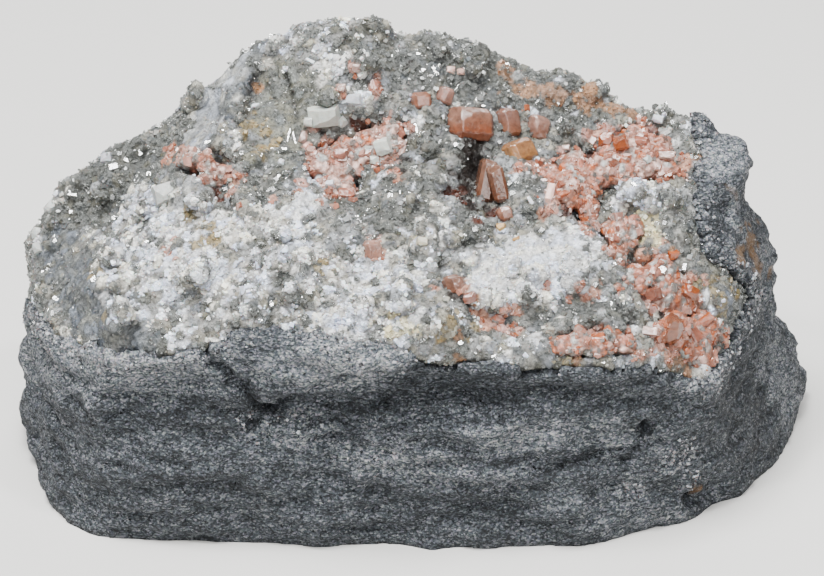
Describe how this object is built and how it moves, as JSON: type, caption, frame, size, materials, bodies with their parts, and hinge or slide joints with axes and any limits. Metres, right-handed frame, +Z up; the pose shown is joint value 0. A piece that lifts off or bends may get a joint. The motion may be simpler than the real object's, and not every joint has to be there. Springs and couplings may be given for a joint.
{
  "type": "mineral specimen",
  "caption": "Broken block of grey schist with a sloping crust of pale crystals that carries clusters of orange monazite.",
  "frame": {"origin": "on the flat underside, below the middle of the specimen's bounding box", "axes": "+X to the right of the front break, +Y from the front break towards the back, +Z up from the flat underside"},
  "size_m": [0.0833, 0.045, 0.0446],
  "materials": {
    "schist": "rough broken mica schist",
    "druse": "sparkling felspar and quartz crystal faces",
    "monazite": "resinous, slightly translucent crystal faces"
  },
  "bodies": {
    "root": {"schist_matrix": "schist", "crystal_crust": "druse", "monazite_tabular": "monazite", "monazite_rounded": "monazite", "monazite_upright": "monazite", "monazite_golden": "monazite", "monazite_blades": "monazite", "monazite_bead": "monazite", "monazite_top_left": "monazite", "monazite_top_right": "monazite", "monazite_block": "monazite", "monazite_brown": "monazite", "monazite_upper_right": "monazite", "monazite_right_string": "monazite", "monazite_right_nest": "monazite", "monazite_lower_right": "monazite", "monazite_lower_strip": "monazite", "monazite_left_patches": "monazite", "monazite_far_left": "monazite"}
  },
  "joints": []
}
